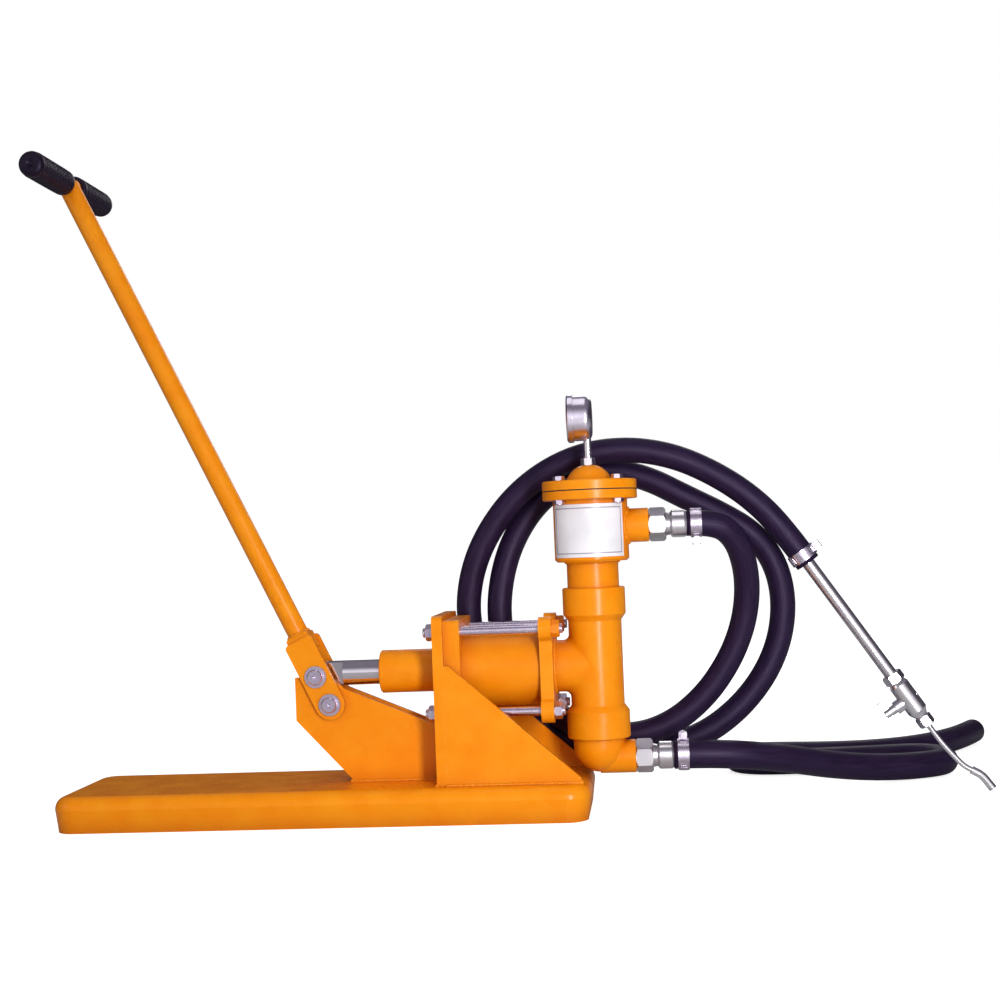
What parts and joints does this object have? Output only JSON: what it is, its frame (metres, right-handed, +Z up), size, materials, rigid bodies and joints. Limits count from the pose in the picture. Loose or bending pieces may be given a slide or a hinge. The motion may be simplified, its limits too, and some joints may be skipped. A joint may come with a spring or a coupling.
{
  "type": "hand lever injection pump",
  "caption": "Lever-worked piston pump on a flat tray base, with ball valves, a pressure chamber and gauge, a suction hose and a delivery hose with a nozzle lance.",
  "frame": {"origin": "middle of the base tray's footprint, on the floor", "axes": "+X along the cylinder from lever to outlets, +Y across to the hose side, +Z up"},
  "size_m": [1.2707, 0.6429, 0.8565],
  "materials": {
    "orange_paint": "semi-gloss brushed enamel",
    "zinc_plate": "bright zinc plate",
    "nickel_plate": "nickel plate",
    "bare_steel": "ground",
    "hard_chrome": "polished",
    "gauge_chrome": "polished",
    "dial_white": "printed",
    "gauge_glass": "clear",
    "pointer_black": "matt",
    "brass": "machined",
    "bronze": "machined",
    "seal_rubber": "moulded",
    "piston_iron": "turned",
    "plate_white": "satin enamel on thin steel",
    "grip_rubber": "ribbed",
    "hose_rubber": "cloth-wrapped rubber"
  },
  "bodies": {
    "stand": {"ball_stops": "bare_steel", "base_tray": "orange_paint", "bourdon_tube": "brass", "chamber_cover": "orange_paint", "cover_bolts": "zinc_plate", "cylinder_barrel": "orange_paint", "discharge_chamber": "orange_paint", "discharge_clamp": "zinc_plate", "discharge_coupler": "nickel_plate", "discharge_hose": "hose_rubber", "front_flange": "orange_paint", "fulcrum_pin": "zinc_plate", "fulcrum_pin_fasteners": "zinc_plate", "gaskets": "seal_rubber", "gauge_bezel": "gauge_chrome", "gauge_case": "gauge_chrome", "gauge_dial": "dial_white", "gauge_glass": "gauge_glass", "gauge_stem": "nickel_plate", "gussets": "orange_paint", "lance_clamp": "zinc_plate", "lance_tube": "nickel_plate", "lance_valve_body": "nickel_plate", "lever_brackets": "orange_paint", "name_plate": "plate_white", "nozzle_tip": "nickel_plate", "nozzle_tube": "nickel_plate", "nozzle_union": "nickel_plate", "pump_tee": "orange_paint", "rear_flange": "orange_paint", "riser_nipple": "orange_paint", "rod_packing": "seal_rubber", "rod_sleeve": "orange_paint", "rod_wiper": "seal_rubber", "sleeve_bush": "bronze", "suction_clamp": "zinc_plate", "suction_coupler": "nickel_plate", "suction_elbow": "orange_paint", "suction_hose": "hose_rubber", "tie_rod_nuts": "zinc_plate", "tie_rods": "zinc_plate", "upright_plate": "orange_paint", "valve_seats": "brass"},
    "lever": {"lever_tube": "orange_paint", "cross_bar": "orange_paint", "hand_grips": "grip_rubber", "fork_block": "orange_paint", "lever_cheeks": "orange_paint", "rod_pin": "zinc_plate", "rod_pin_fasteners": "zinc_plate"},
    "piston": {"piston_rod": "hard_chrome", "piston": "piston_iron", "piston_seals": "seal_rubber", "piston_nut": "zinc_plate"},
    "suction_ball": {"suction_ball": "bare_steel"},
    "discharge_ball": {"discharge_ball": "bare_steel"},
    "pointer": {"gauge_pointer": "pointer_black"},
    "valve": {"valve_plug": "nickel_plate", "valve_handle": "nickel_plate"}
  },
  "joints": [
    {"name": "lever_swing", "type": "hinge", "parent": "stand", "child": "lever", "pos_m": [0.008, 0, 0.1445], "axis": [0, 1, 0], "range_deg": [0, 56]},
    {"name": "rod_slide", "type": "slide", "parent": "stand", "child": "piston", "axis": [1, 0, 0], "range_m": [0, 0.0378]},
    {"name": "suction_ball_lift", "type": "slide", "parent": "stand", "child": "suction_ball", "axis": [0, 0, 1], "range_m": [0, 0.008]},
    {"name": "discharge_ball_lift", "type": "slide", "parent": "stand", "child": "discharge_ball", "axis": [0, 0, 1], "range_m": [0, 0.008]},
    {"name": "pointer_turn", "type": "hinge", "parent": "stand", "child": "pointer", "pos_m": [0.3325, 0, 0.4985], "axis": [1, 0, 0], "range_deg": [0, 270], "stiffness_Nm_per_rad": 0.0005},
    {"name": "valve_turn", "type": "hinge", "parent": "stand", "child": "valve", "pos_m": [0.74872, 0.06, 0.12118], "axis": [-0.831, 0, -0.5563], "range_deg": [0, 90]}
  ],
  "couplings": [
    {"joint": "rod_slide", "follows": "lever_swing", "m_per_rad": 0.0386}
  ]
}
